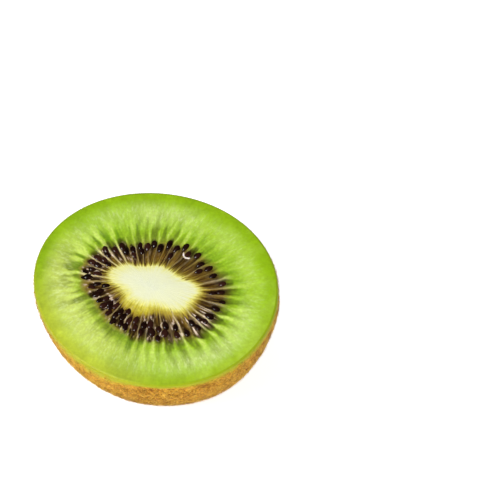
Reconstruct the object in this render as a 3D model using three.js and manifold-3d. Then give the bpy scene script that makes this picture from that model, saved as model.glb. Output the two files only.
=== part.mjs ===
// Half a kiwi fruit, cut across its middle, lying on its rounded end with the cut face up.
//
// It is one solid: skin, flesh, core and seeds grow together. The rounded side is a blunt dome over an
// oval outline. The cut face has a raised core, a sunken ring of seed chambers with thin walls between
// them, a slightly crowned band of flesh, and an edge that rounds over to the skin. The seeds lie in
// their chambers with the pointed end towards the core, sunk to about half their thickness.
//
// Millimetres, +Z up, +X along the long axis of the cut face. The origin is the centre of the small flat
// spot that the fruit rests on.
import * as THREE from "three";
import { mergeVertices } from "three/addons/utils/BufferGeometryUtils.js";
import Module from "manifold-3d";

const wasm = await Module();
wasm.setup();

// ---- Driving dimensions ----

const LONG_AXIS = 55; // across the cut face, the longer way
const SHORT_AXIS = 48.2; // across the cut face, the shorter way
const HEIGHT = 28.6; // from the flat spot to the plane of the cut
const FLAT_RADIUS = 5; // of the flat spot, along the long axis
const DOME_POWER = 2.5; // 2 would be an ellipsoid, more is blunter
const BULGE_SHARE = 0.011; // the outline swells by this share on three sides
const BULGE_TURN = THREE.MathUtils.degToRad(49); // where the first of the three is
const SIDE_WAVE = 0.008; // the dome's soft unevenness, as a share of its radius

const EDGE_ROUND = 0.6; // radius at which the flesh rounds over to the skin
const FLESH_CROWN = 0.15; // the outer flesh stands this much above the plane of the cut
const CHAMBER_SINK = 0.3; // the seed chambers lie this much below it
const WALL_RISE = 0.16; // the walls between the chambers stand this much above their floor
const CORE_RISE = 0.2; // the core's middle stands this much above the plane of the cut

const CORE_LONG = 18; // the pale core, the longer way
const CORE_SHORT = 9.8; // and the shorter way
const CORE_X = -0.75; // its centre lies off the outline's centre
const CORE_Y = -0.2;

const CHAMBERS = 42; // seed chambers round the core
const CROWDING = 0.12; // how much closer they lie at the core's long sides than at its ends
const SEED_LENGTH = 2.2;
const SEED_WIDTH = 1.42;
const SEED_THICKNESS = 0.9;
const SEED_RISE = 0.06; // a seed's middle lies this much above the chamber floor

// Each chamber has a seed at its outer end, and a second and third behind it by these chances, from the
// side of the ring with the fewest seeds to the side across the core from there.
const SPARSE_TURN = THREE.MathUtils.degToRad(50);
const SECOND_SEED = [0.15, 1];
const THIRD_SEED = [0, 0.55];
// In shares of the ring's width: where the outer seeds lie, and how far apart the rows are.
const OUTER_ROW = 0.96;
const OUTER_ROW_SPREAD = 0.34;
const EVERY_OTHER_IN = 0.12;
const ROW_STEP = 0.5;
const ROW_STEP_SPREAD = 0.12;
// In radians round the core: how far a chamber's seeds lie to alternate sides of its middle.
const SEED_ASIDE = 0.015;
const SEED_ASIDE_SPREAD = 0.014;

// ---- Mesh fineness ----

const AROUND = CHAMBERS * 2; // points round each ring: one on a wall and one in the chamber
const DOME_RINGS = 14;
const EDGE_RINGS = 3;
const SEED_SIDES = 6;

// ---- Wavy outlines, as shares of cosine and sine for one, two, three... waves round the core ----

const CORE_WAVES = [
  [0.033, -0.056],
  [0.031, -0.009],
  [-0.015, 0.034],
  [0.046, -0.016],
  [-0.041, 0.022],
  [-0.039, 0.049],
];
// The seed ring, as shares of the way from the core's edge to the rim.
const RING_INSIDE = 0.125;
const RING_INSIDE_WAVES = [
  [0.017, -0.025],
  [0.02, 0.003],
];
const RING_OUTSIDE = 0.385;
const RING_OUTSIDE_WAVES = [
  [0.028, -0.026],
  [-0.001, 0.005],
  [-0.024, 0],
  [0.011, 0.007],
];
const SEED_INSET = 0.04; // seeds keep their middles this share inside the ring

const TAU = 2 * Math.PI;
const { lerp, smoothstep } = THREE.MathUtils;

function waves(angle, shares) {
  return shares.reduce((sum, [cosine, sine], i) => {
    const turn = (i + 1) * angle;
    return sum + cosine * Math.cos(turn) + sine * Math.sin(turn);
  }, 0);
}

// The minimal standard generator: whole numbers only, so it draws the same everywhere.
function seededDraws(seed) {
  let state = seed;
  return () => {
    state = (state * 16807) % 2147483647;
    return state / 2147483647;
  };
}

// ---- The rim of the cut face, and the dome below it ----

function outline(angle) {
  const swell = 1 + BULGE_SHARE * Math.cos(3 * (angle - BULGE_TURN));
  return new THREE.Vector2(
    (LONG_AXIS / 2) * swell * Math.cos(angle),
    (SHORT_AXIS / 2) * swell * Math.sin(angle),
  );
}

// Chambers are evenly spaced by this turn, and not by angle.
const chamberAngle = (turn) => turn + CROWDING * Math.sin(2 * turn);
const evenTurns = (count) => Array.from({ length: count }, (_, i) => (i / count) * TAU);

// The swellings shift the outline's middle a little, and this takes the shift out.
const outlineMiddle = new THREE.Box2()
  .setFromPoints(evenTurns(AROUND).map((turn) => outline(chamberAngle(turn))))
  .getCenter(new THREE.Vector2());
const rim = (angle) => outline(angle).sub(outlineMiddle);

// The depth of the whole dome, which the flat spot cuts short.
const flatShare = FLAT_RADIUS / (LONG_AXIS / 2);
const depthShare = (1 - flatShare ** 2) ** (1 / DOME_POWER);
const fullDepth = HEIGHT / depthShare;

function domePoint(angle, depth) {
  const low = depth / HEIGHT;
  // The wave fades out at the rim and at the flat spot.
  const wave =
    SIDE_WAVE *
    Math.sin(low * Math.PI) *
    (Math.cos(2 * angle + 3 * low) + 0.6 * Math.sin(5 * angle - 4 * low));
  const share = Math.sqrt(1 - (depth / fullDepth) ** DOME_POWER) * (1 + wave);
  const { x, y } = rim(angle).multiplyScalar(share);
  return new THREE.Vector3(x, y, HEIGHT - depth);
}

// From straight up at the skin, where round is 0, to level on the face, where it is 1.
function edgePoint(angle, round) {
  const turn = (round * Math.PI) / 2;
  const side = rim(angle);
  const { x, y } = side.setLength(side.length() - EDGE_ROUND * (1 - Math.cos(turn)));
  return new THREE.Vector3(x, y, HEIGHT - EDGE_ROUND * (1 - Math.sin(turn)));
}

// ---- The cut face, by turn and by how far out: 0 at the core's edge, 1 where the edge rounds over ----

function coreEdge(angle) {
  const share = 1 + waves(angle, CORE_WAVES);
  return new THREE.Vector2(
    CORE_X + (CORE_LONG / 2) * share * Math.cos(angle),
    CORE_Y + (CORE_SHORT / 2) * share * Math.sin(angle),
  );
}

function faceEdge(angle) {
  const side = rim(angle);
  return side.setLength(side.length() - EDGE_ROUND);
}

const ringInside = (angle) => RING_INSIDE + waves(angle, RING_INSIDE_WAVES);
const ringOutside = (angle) => RING_OUTSIDE + waves(angle, RING_OUTSIDE_WAVES);

function facePoint(turn, out) {
  const angle = chamberAngle(turn);
  const inside = ringInside(angle);
  const outside = ringOutside(angle);
  const inRing =
    smoothstep(out, inside - 0.1, inside + 0.04) * (1 - smoothstep(out, outside - 0.04, outside + 0.12));
  const onWall = (1 + Math.cos(CHAMBERS * turn)) / 2;
  const crown = Math.sin(Math.PI * Math.max(0, (out - 0.3) / 0.7));
  const { x, y } = coreEdge(angle).lerp(faceEdge(angle), out);
  return new THREE.Vector3(
    x,
    y,
    HEIGHT + FLESH_CROWN * crown - inRing * (CHAMBER_SINK - WALL_RISE * onWall),
  );
}

function corePoint(turn, out) {
  const middle = new THREE.Vector2(CORE_X, CORE_Y);
  const { x, y } = middle.lerp(coreEdge(chamberAngle(turn)), out);
  return new THREE.Vector3(x, y, lerp(HEIGHT + CORE_RISE, facePoint(turn, 0).z, out ** 2));
}

// ---- The body, as rings of points from the flat spot up over the rim to the core's middle ----

function bodyRings() {
  const ring = (point) => evenTurns(AROUND).map(point);
  const rings = [];
  // Even steps of this turn put the dome's rings closer together where it curves most.
  const flatTurn = Math.asin(depthShare ** (DOME_POWER / 2));
  for (let i = DOME_RINGS; i > 0; i--) {
    const turn = (i / DOME_RINGS) * flatTurn;
    const depth = Math.max(EDGE_ROUND, fullDepth * Math.sin(turn) ** (2 / DOME_POWER));
    rings.push(ring((around) => domePoint(chamberAngle(around), depth)));
  }
  for (let i = 1; i <= EDGE_RINGS; i++) {
    rings.push(ring((around) => edgePoint(chamberAngle(around), i / EDGE_RINGS)));
  }
  for (const out of [0.84, 0.68, 0.54]) {
    rings.push(ring((around) => facePoint(around, out)));
  }
  for (const across of [1.15, 0.8, 0.5, 0.2]) {
    rings.push(
      ring((around) => {
        const angle = chamberAngle(around);
        return facePoint(around, lerp(ringInside(angle), ringOutside(angle), across));
      }),
    );
  }
  for (const out of [1, 0.55]) {
    rings.push(ring((around) => corePoint(around, out)));
  }
  return rings;
}

// A closed surface from rings of points, with one point to close each end.
function closedSurface(rings, first, last) {
  const points = [first, ...rings.flat(), last];
  const at = (row, i) => 1 + row * AROUND + (i % AROUND);
  const top = rings.length - 1;
  const faces = [];
  for (let i = 0; i < AROUND; i++) {
    faces.push(0, at(0, i + 1), at(0, i));
    for (let row = 0; row < top; row++) {
      faces.push(at(row, i), at(row, i + 1), at(row + 1, i + 1));
      faces.push(at(row, i), at(row + 1, i + 1), at(row + 1, i));
    }
    faces.push(at(top, i), at(top, i + 1), points.length - 1);
  }
  return new THREE.BufferGeometry().setFromPoints(points).setIndex(faces);
}

// ---- Seeds ----

// A drop, round at -Y and pointed at +Y, flattened along Z.
function seedShape() {
  const profile = [
    [0, -0.5],
    [0.4, -0.36],
    [0.5, -0.06],
    [0.33, 0.28],
    [0, 0.5],
  ].map(([radius, along]) => new THREE.Vector2(radius, along));
  return new THREE.LatheGeometry(profile, SEED_SIDES).scale(
    SEED_WIDTH,
    SEED_LENGTH,
    SEED_THICKNESS,
  );
}

// From 0 at the side of the ring with the fewest seeds to 1 across the core from there.
const fullness = (angle) => (1 - Math.cos(angle - SPARSE_TURN)) / 2;

// Where each seed lies: its turn round the core, how far out, its size, and how far it is turned aside.
function seedPlaces() {
  const draw = seededDraws(37);
  const scattered = (middle, spread) => middle + spread * (draw() - 0.5);
  const places = [];
  for (let chamber = 0; chamber < CHAMBERS; chamber++) {
    const middle = ((chamber + scattered(0.5, 0.3)) / CHAMBERS) * TAU;
    const full = fullness(chamberAngle(middle));
    const second = draw() < lerp(...SECOND_SEED, full) ? 1 : 0;
    const third = draw() < lerp(...THIRD_SEED, full) ? 1 : 0;
    const outermost = scattered(OUTER_ROW, OUTER_ROW_SPREAD) - EVERY_OTHER_IN * (chamber % 2);
    const step = scattered(ROW_STEP, ROW_STEP_SPREAD);
    const firstSide = draw() < 0.5 ? 1 : -1;
    const side = firstSide * scattered(SEED_ASIDE, SEED_ASIDE_SPREAD) * (second + third);
    for (let i = 0; i < 1 + second + third; i++) {
      const turn = middle + side * (i % 2 ? 1 : -1);
      const angle = chamberAngle(turn);
      const across = outermost - i * step + scattered(0, 0.06);
      places.push({
        turn,
        out: lerp(ringInside(angle) + SEED_INSET, ringOutside(angle) - SEED_INSET, across),
        size: scattered(0.98, 0.24),
        aside: scattered(0, 0.45),
      });
    }
  }
  return places;
}

function seedSolid(shape, { turn, out, size, aside }) {
  const { x, y } = facePoint(turn, out);
  const angle = chamberAngle(turn);
  const inwards = coreEdge(angle).sub(faceEdge(angle)).angle();
  const place = new THREE.Matrix4().compose(
    new THREE.Vector3(x, y, HEIGHT - CHAMBER_SINK + SEED_RISE),
    new THREE.Quaternion().setFromEuler(new THREE.Euler(0, 0, inwards - Math.PI / 2 + aside)),
    new THREE.Vector3(size, size, size),
  );
  return solidFrom(shape.clone().applyMatrix4(place));
}

// ---- From three.js geometry to a manifold solid and back ----

function solidFrom(geometry) {
  const bare = geometry.clone();
  bare.deleteAttribute("normal");
  bare.deleteAttribute("uv");
  const merged = mergeVertices(bare, 1e-4);
  return new wasm.Manifold(
    new wasm.Mesh({
      numProp: 3,
      vertProperties: merged.attributes.position.array,
      triVerts: new Uint32Array(merged.index.array),
    }),
  );
}

function geometryFrom(solid) {
  const { vertProperties, triVerts } = solid.getMesh();
  const geometry = new THREE.BufferGeometry();
  geometry.setAttribute("position", new THREE.BufferAttribute(vertProperties, 3));
  geometry.setIndex(new THREE.BufferAttribute(triVerts, 1));
  geometry.computeVertexNormals();
  return geometry;
}

function kiwiHalf() {
  const flatSpot = new THREE.Vector3(0, 0, 0);
  const body = solidFrom(closedSurface(bodyRings(), flatSpot, corePoint(0, 0)));
  const shape = seedShape();
  const whole = seedPlaces().reduce(
    (solid, place) => solid.add(seedSolid(shape, place)),
    body,
  );
  const flesh = new THREE.MeshStandardMaterial({
    name: "kiwi",
    color: new THREE.Color(0.62, 0.8, 0.28),
    roughness: 0.45,
    metalness: 0,
  });
  const mesh = new THREE.Mesh(geometryFrom(whole), flesh);
  mesh.name = "kiwi_half";
  return mesh;
}

const part = new THREE.Group();
part.add(kiwiHalf());

export default part;
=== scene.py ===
"""Half a kiwi fruit, cut face up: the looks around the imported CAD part.

The pieces are the flesh with its core, seed chambers and cut face, the skin as a thin shell over the
dome, the seeds, and two kinds of fuzz on the skin. All of them ride on the part's one body, and flesh,
skin and seeds stand for its one node. Shapes are worked out in millimetres, in the part's own frame,
by the same named sizes and the same rules as the CAD part, and become metres where a mesh is made.
"""

import itertools
import math

import bpy
import numpy as np
from mathutils import Euler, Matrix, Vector


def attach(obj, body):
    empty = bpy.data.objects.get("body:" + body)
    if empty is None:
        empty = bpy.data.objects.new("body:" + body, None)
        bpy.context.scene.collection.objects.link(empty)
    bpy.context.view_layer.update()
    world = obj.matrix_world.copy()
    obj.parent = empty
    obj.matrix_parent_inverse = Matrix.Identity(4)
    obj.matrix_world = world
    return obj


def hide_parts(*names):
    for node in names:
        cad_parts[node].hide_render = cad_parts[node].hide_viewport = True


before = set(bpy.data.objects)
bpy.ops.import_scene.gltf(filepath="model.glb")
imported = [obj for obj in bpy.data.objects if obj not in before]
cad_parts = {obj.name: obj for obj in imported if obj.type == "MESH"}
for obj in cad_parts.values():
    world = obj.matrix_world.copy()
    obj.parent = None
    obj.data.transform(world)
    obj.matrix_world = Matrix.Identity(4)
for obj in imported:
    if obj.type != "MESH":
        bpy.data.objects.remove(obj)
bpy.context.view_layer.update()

BODY = "root"
NODE = "kiwi_half"
MM = 0.001
TAU = 2 * math.pi

# ---- Driving dimensions, in millimetres, as the CAD part has them ----

LONG_AXIS = 55.0
SHORT_AXIS = 48.2
HEIGHT = 28.6
FLAT_RADIUS = 5.0
DOME_POWER = 2.5
BULGE_SHARE = 0.011
BULGE_TURN = math.radians(49)
SIDE_WAVE = 0.008
EDGE_ROUND = 0.6
FLESH_CROWN = 0.15
CHAMBER_SINK = 0.3
CORE_RISE = 0.2
CORE_LONG = 18.0
CORE_SHORT = 9.8
CORE_MIDDLE = (-0.75, -0.2)
CHAMBERS = 42
CROWDING = 0.12
SEED_LENGTH = 2.2
SEED_WIDTH = 1.42
SEED_THICKNESS = 0.9
SEED_RISE = 0.06
SEED_INSET = 0.04
# Chances of a second and a third seed in a chamber, from the side with the fewest to the one across.
SPARSE_TURN = math.radians(50)
SECOND_SEED = (0.15, 1)
THIRD_SEED = (0, 0.55)
# The CAD part's own generator of draws, and what it starts from.
DRAWS_FACTOR = 16807
DRAWS_MODULUS = 2147483647
PLACES_SEED = 37
# Middles and spreads of the draws for each chamber's place and for its seeds' rows and places.
CHAMBER_PLACE = (0.5, 0.3)
OUTER_ROW = (0.96, 0.34)
EVERY_OTHER_IN = 0.12
ROW_STEP = (0.5, 0.12)
OUT_OF_ROW = (0, 0.06)
SEED_ASIDE = (0.015, 0.014)
SEED_SIZE = (0.98, 0.24)
SEED_TURNED = (0, 0.45)

# ---- Turns round the fruit, in degrees ----

WARM_TURN = 222  # where the flesh is most yellow
RIM_WARM_TURN = 243  # where its rim is
RIM_GLOW_TURN = 289.35  # and where its rim is faintly so
LIP_TURN = 237  # where the skin under the cut is golden furthest down
OTHER_LIP_TURN = 345  # and where it is so a little less far
LIVELY_TURN = 318  # where the flesh's rays are strong
CALM_TURNS = (48, 268)  # and where they are faint
PALE_WALL_TURN = 195  # where the walls between chambers are palest
GOLDEN_TURN = 40  # where the chambers' insides are most golden
DARK_TURN = 115  # where the chambers are darkest next to the core
CRESCENT_TURN = 66  # of the seed with a painted highlight along its wet edge
GLINT_TURN = 327  # where painted wet glints run along fine threads through the ring

# ---- Levels that change round the core ----

# Each has a middle, then shares of cosine and sine for one, two, three... waves round the core, then
# soft spots. A spot has its turn in degrees and its strength, and the cosine of how far it reaches unless
# that is SPOT_EDGE.
SPOT_EDGE = 0.88
CORE_SWELL = (
    1,
    [(0.033, -0.056), (0.031, -0.009), (-0.015, 0.034), (0.046, -0.016), (-0.041, 0.022), (-0.039, 0.049)],
)
RING_INSIDE = (0.125, [(0.017, -0.025), (0.02, 0.003)])
RING_OUTSIDE = (0.385, [(0.028, -0.026), (-0.001, 0.005), (-0.024, 0.0), (0.011, 0.007)])
# How far out the chambers' dark insides start and end, how far past the ring its brown gives way to
# green, and where the green shadows behind the seeds end.
HOLLOW_START = (0.06, [(0.04, -0.02), (0.005, -0.005)])
HOLLOW_END = (0.45, [(0.078, -0.031), (0.025, -0.012), (-0.01, 0.02)])
GREEN_BEYOND = (0.0, [(-0.004, -0.03), (0.008, 0.008)])
SHADOW_END = (0.56, [(0.043, -0.014), (-0.003, -0.023)])
# How bright the flesh is close to the ring, further out, and at the rim: partly its own tone, partly
# painted light and shade that change round the core.
INNER_TONE_AND_PAINTED_LIGHT = (-0.13, [(-0.04, -0.05)], [(62, -0.1), (265, -0.5), (303, 0.33)])
OUTER_TONE_AND_PAINTED_LIGHT = (-0.11, [(0.1, 0.05), (0.025, -0.015)], [(243, 0.17), (275, -0.12), (322, -0.1)])
RIM_TONE_AND_PAINTED_LIGHT = (0.0, [], [(8, 0.12), (300, 0.12), (328, 0.26)])
# How much further out than elsewhere the core's white reaches, in belts, and how much more beside it.
WHITER = (0.08, [(0.11, 0.117), (0.088, 0.0)])
WHITER_BESIDE = (0.0, [], [(264, 0.28), (303, -0.15)])
# How pale the flesh is: partly its own pale patches, partly painted sheen.
PALENESS_AND_SHEEN = (
    0.0,
    [(-0.2, -0.65), (0.05, 0.05), (-0.14, -0.45)],
    [(62, -0.15), (120, 0.6), (187, -0.25), (240, 0.4), (272, -0.35), (350, 0.2)],
)
# Where the belt next to the core is a clear yellow.
YELLOW_BELT = (0.0, [], [(256, 0.6), (279, 0.8)])
# How strong the flesh's rays and shadows are, how pale the walls between chambers, and how dark the
# chambers' outer ends.
CALM_SPOTS = [(turn, -0.35, 0.7) for turn in CALM_TURNS]
LIVELINESS = (1, [], [(LIVELY_TURN, 0.5, 0.55), (180, 0.9, 0.5), *CALM_SPOTS])
WALL_GLOW = (1, [], [(PALE_WALL_TURN, 0.8, 0.2)])
DARK_OUTSIDE = (0.76, [], [(GOLDEN_TURN, -0.28, 0.4), (WARM_TURN, -0.22, 0.4)])
# How much paler the fuzz is over the golden skin and to the right of it.
PALER_FUZZ = (0.0, [], [(LIP_TURN, 0.3, 0.6), (318, 0.15, 0.7)])

# ---- Finer sizes that only the looks have ----

CREST_WIDTH = 0.07  # of the pale line along a wall between chambers, as a share of a chamber
HOLLOW_DEPTH = 0.26  # of the chambers' floors below the tops of their walls
MENISCUS_HEIGHT = 0.1  # how far up a seed the flesh clings
MENISCUS_REACH = 0.5  # and how far round it
SHADOW_TIP = 0.16  # how far past the shadows' end their thin tips go on
WALL_SWAY = 0.28  # how far the walls wave aside near the core and in the flesh, as a share of a chamber
GLINTING_WALLS = (17, 18, 19, 22, 37, 39, 40)  # walls that are pale and carry painted wet glints, counted round from +X
CROWN_START = 0.3  # how far out the flesh's faint crown starts
CLEAR_YELLOW = 0.85  # of the yellow belt, and how much of its brown it hides
SKIN_THICKNESS = 0.3
SKIN_LIP = 0.14  # how far up the rounded edge the skin reaches, from 0 at the side to 1 on the face
FLESH_INSET = 0.6 * SKIN_THICKNESS  # how far the flesh stays inside the skin
SCAR_STRENGTH = 0.45  # of the brown scar in the middle of the flat spot
SCAR_REACH = (1.4, 2.4)

# Heights of fine relief, in millimetres.
FIBRE_HEIGHT = 0.03
CREST_HEIGHT = 0.05
GRIT_HEIGHT = 0.03
GRAIN_HEIGHT = 0.018
PATCH_HEIGHT = 0.04
CORE_PATCH_HEIGHT = 0.03
SEED_DENT_DEPTH = 0.02
SKIN_SWELL_HEIGHT = 0.07
SKIN_BUMP_HEIGHT = 0.035

# Streaks over the face: cells round the core, cells from it to the rim, and the seed of their draws.
WALL_SWAYS = (26, 5, 9)
WALL_EDGES = (75, 9, 10)
FIBRES = (260, 7, 11)
GRAINS = (190, 26, 12)
THREADS = (420, 5, 14)
BROAD_RAYS = (130, 6, 15)
FINE_RAYS = (290, 11, 16)
COARSE_GRIT = (150, 16, 18)
FINE_GRIT = (330, 28, 19)
RAGGED_BELTS = (90, 1, 20)
# Soft noise: the size of its bumps in millimetres, and the seed of its draws.
PATCHES = (6.0, 13)
CORE_PATCHES = (3.0, 17)
SKIN_SWELLS = (3.2, 21)
SKIN_BUMPS = (1.1, 22)
RAY_CLOUDS = (2.2, 23)
SMALL_PATCHES = (2.6, 24)
SEED_DENTS = (0.8, 31)
FUZZ_CLUMPS = (1.1, 33)
FUZZ_TUFTS = (0.4, 34)
FUZZ_PATCHES = (1.0, 35)
# Seeds of the draws for the chambers and for the seeds' shapes.
CHAMBERS_SEED = 5
SHAPES_SEED = 7

# Each kind of fuzz: number of hairs, their lengths, their width, how steeply they rise from the skin in
# radians, and the seed of their draws.
FUZZ = {
    "fuzz_short": (22000, (0.5, 1.0), 0.05, (0.15, 0.7), 51),
    "fuzz_long": (20000, (0.9, 1.6), 0.055, (0.1, 0.5), 52),
}
# A hair's points: three at its root, three at its middle and its tip.
HAIR_ALONG = (0.0, 0.0, 0.0, 0.5, 0.5, 0.5, 1.0)
HAIR_SIDES = [(0, 1, 4), (0, 4, 3), (1, 2, 5), (1, 5, 4), (2, 0, 3), (2, 3, 5)]
HAIR_FACES = [*HAIR_SIDES, (3, 4, 6), (4, 5, 6), (5, 3, 6)]
HAIR_ROOT_DEPTH = 0.05
HAIR_CLEARANCE = 0.02  # above the floor

# The flesh's numbers for its material: the belt, counted from the core out, the chambers' insides, the
# crests of the walls between them, pale rays above 0 and dark shadows below it with painted light and
# shade round the core added on, how dark a chamber is, scraps of pale membrane in the ring whose
# strongest places carry painted wet glints and a painted highlight, how yellow the flesh is, and how
# pale, partly with painted sheen.
MASKS = ("zone", "hollow", "crest", "ray_and_painted_light", "dark", "film_and_glints", "warm", "pale_and_sheen")
ZONES = 6  # the belts run from 0 in the core's middle to this under the skin

# ---- Mesh fineness ----

OUTLINE_STEPS = 720
NOISE_SIDE = 32
FACE_COLUMNS = CHAMBERS * 14
CORE_ROWS = 24
CORE_HOLE = 0.03  # the smallest ring round the core's middle, as a share of the core
RING_ROWS = 62
RING_ROWS_END = 0.56
FLESH_ROWS = 40
EDGE_ROWS = 9
HIDDEN_ROWS = 16
SKIN_COLUMNS = 560
SKIN_ROWS = 128
SKIN_EDGE_ROWS = 6
LIP_ROWS = 7
SEED_AROUND = 20
SEED_ALONG = 14


# ---- Numbers: steps, levels, draws and noise ----


def lerp(a, b, share):
    return a + (b - a) * share


def rise(low, high, x):
    """From 0 to 1 as x goes from low to high."""
    share = np.clip((x - low) / (high - low), 0, 1)
    return share * share * (3 - 2 * share)


def fade(low, high, x):
    """From 1 to 0 as x goes from low to high."""
    return 1 - rise(low, high, x)


def towards(angle, degrees, low=SPOT_EDGE, high=1.0):
    """From 0 to 1 as the angle comes close to this turn; low and high are cosines of how far off it is."""
    return rise(low, high, np.cos(angle - math.radians(degrees)))


def level(angle, middle, waves, spots=()):
    """A level that changes round the core."""
    total = np.zeros_like(angle)
    for i, (cosine, sine) in enumerate(waves, start=1):
        total = total + cosine * np.cos(i * angle) + sine * np.sin(i * angle)
    total = middle + total
    for degrees, strength, *edge in spots:
        total = total + strength * towards(angle, degrees, *edge)
    return total


def seeded_draws(state):
    """Draws from 0 to 1, the same ones here as in the CAD part."""
    while True:
        state = state * DRAWS_FACTOR % DRAWS_MODULUS
        yield state / DRAWS_MODULUS


def lattice_noise(points, cell, seed):
    """Smooth noise from -1 to 1 at these points, with bumps about a cell across."""
    table = np.random.default_rng(seed).uniform(-1, 1, (NOISE_SIDE,) * 3)
    scaled = points / cell
    corner = np.floor(scaled).astype(int)
    share = rise(0, 1, scaled - corner)
    total = np.zeros(points.shape[:-1])
    for step in itertools.product((0, 1), repeat=3):
        weight = np.prod(np.where(step, share, 1 - share), axis=-1)
        x, y, z = np.moveaxis((corner + step) % NOISE_SIDE, -1, 0)
        total += weight * table[x, y, z]
    return total


def streaks(turn, out, across, along, seed):
    """Noise from -1 to 1 in rays: so many cells round the core, and so many from it to the rim."""
    table = np.random.default_rng(seed).uniform(-1, 1, (across, along + 2))
    u = turn / TAU * across
    v = np.clip(out, 0, 1) * along
    i = np.floor(u).astype(int)
    j = np.floor(v).astype(int)
    t = rise(0, 1, v - j)
    left = lerp(table[i % across, j], table[i % across, j + 1], t)
    right = lerp(table[(i + 1) % across, j], table[(i + 1) % across, j + 1], t)
    return lerp(left, right, rise(0, 1, u - i))


# ---- The shape: rim, dome and rounded edge ----


def turns(columns):
    """Turns once round the core, one for each column of a mesh."""
    return np.arange(columns) / columns * TAU


def chamber_angle(turn):
    return turn + CROWDING * np.sin(2 * turn)


def oval(angle, long, short, swell):
    return np.stack([long / 2 * swell * np.cos(angle), short / 2 * swell * np.sin(angle)], -1)


def outline(angle):
    return oval(angle, LONG_AXIS, SHORT_AXIS, 1 + BULGE_SHARE * np.cos(3 * (angle - BULGE_TURN)))


once_round = outline(np.linspace(0, TAU, OUTLINE_STEPS))
OUTLINE_MIDDLE = (once_round.min(0) + once_round.max(0)) / 2


def rim(angle):
    return outline(angle) - OUTLINE_MIDDLE


def raised(flat, height):
    """Points at this height over places seen from above."""
    return np.concatenate([flat, np.broadcast_to(height, flat.shape[:-1])[..., None]], -1)


def shortened(flat_points, by):
    """Points moved by this much towards the middle."""
    length = np.linalg.norm(flat_points, axis=-1, keepdims=True)
    return flat_points * (1 - by / length)


FLAT_SHARE = FLAT_RADIUS / (LONG_AXIS / 2)
DEPTH_SHARE = (1 - FLAT_SHARE**2) ** (1 / DOME_POWER)
FULL_DEPTH = HEIGHT / DEPTH_SHARE


def dome_points(turn, depth):
    """Rows of points at these depths below the cut, round the whole turn."""
    angle = chamber_angle(turn)[None, :]
    down = depth[:, None]
    low = down / HEIGHT
    swirl = np.cos(2 * angle + 3 * low) + 0.6 * np.sin(5 * angle - 4 * low)
    wave = SIDE_WAVE * np.sin(low * math.pi) * swirl
    share = np.sqrt(1 - (down / FULL_DEPTH) ** DOME_POWER) * (1 + wave)
    return raised(rim(angle) * share[..., None], HEIGHT - down)


def dome_depths(rows):
    """Depths from the flat spot up to the rounded edge, closer together where the dome curves most."""
    flat_turn = math.asin(DEPTH_SHARE ** (DOME_POWER / 2))
    edge_turn = math.asin((EDGE_ROUND / FULL_DEPTH) ** (DOME_POWER / 2))
    return FULL_DEPTH * np.sin(np.linspace(flat_turn, edge_turn, rows)) ** (2 / DOME_POWER)


def edge_points(turn, rounds, radius):
    """Rows round the edge, from straight up at the side, 0, to level on the face, 1."""
    side = rim(chamber_angle(turn))
    rows = []
    for share, reach in zip(rounds, radius):
        bend = share * math.pi / 2
        flat = shortened(side, EDGE_ROUND - reach * math.cos(bend))
        rows.append(raised(flat, HEIGHT - EDGE_ROUND + reach * math.sin(bend)))
    return np.stack(rows)


# ---- The cut face: out is 0 at the core's edge and 1 where the edge rounds over ----


def core_edge(angle):
    return CORE_MIDDLE + oval(angle, CORE_LONG, CORE_SHORT, level(angle, *CORE_SWELL))


def face_edge(angle):
    return shortened(rim(angle), EDGE_ROUND)


def green_start(angle):
    """How far out the ring's brown gives way to green."""
    return level(angle, *RING_OUTSIDE) + level(angle, *GREEN_BEYOND)


def face_flat(turn, out):
    """Where a point of the face is, seen from above."""
    angle = chamber_angle(turn)
    return lerp(core_edge(angle), face_edge(angle), np.asarray(out)[..., None])


def seed_places():
    """Each seed's middle seen from above, the way its point faces, and its size, as in the CAD part."""
    draws = seeded_draws(PLACES_SEED)

    def scattered(middle, spread):
        return middle + spread * (next(draws) - 0.5)

    places = []
    for chamber in range(CHAMBERS):
        middle = (chamber + scattered(*CHAMBER_PLACE)) / CHAMBERS * TAU
        full = (1 - math.cos(chamber_angle(middle) - SPARSE_TURN)) / 2
        second = next(draws) < lerp(*SECOND_SEED, full)
        third = next(draws) < lerp(*THIRD_SEED, full)
        outermost = scattered(*OUTER_ROW) - EVERY_OTHER_IN * (chamber % 2)
        step = scattered(*ROW_STEP)
        first_side = 1 if next(draws) < 0.5 else -1
        side = first_side * scattered(*SEED_ASIDE) * (second + third)
        for i in range(1 + second + third):
            turn = middle + side * (1 if i % 2 else -1)
            angle = chamber_angle(turn)
            across = outermost - i * step + scattered(*OUT_OF_ROW)
            inner = level(angle, *RING_INSIDE) + SEED_INSET
            outer = level(angle, *RING_OUTSIDE) - SEED_INSET
            size = scattered(*SEED_SIZE)
            inwards = core_edge(angle) - face_edge(angle)
            heading = math.atan2(inwards[1], inwards[0]) + scattered(*SEED_TURNED)
            places.append((face_flat(turn, lerp(inner, outer, across)), heading, size))
    return places


SEEDS = seed_places()


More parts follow.
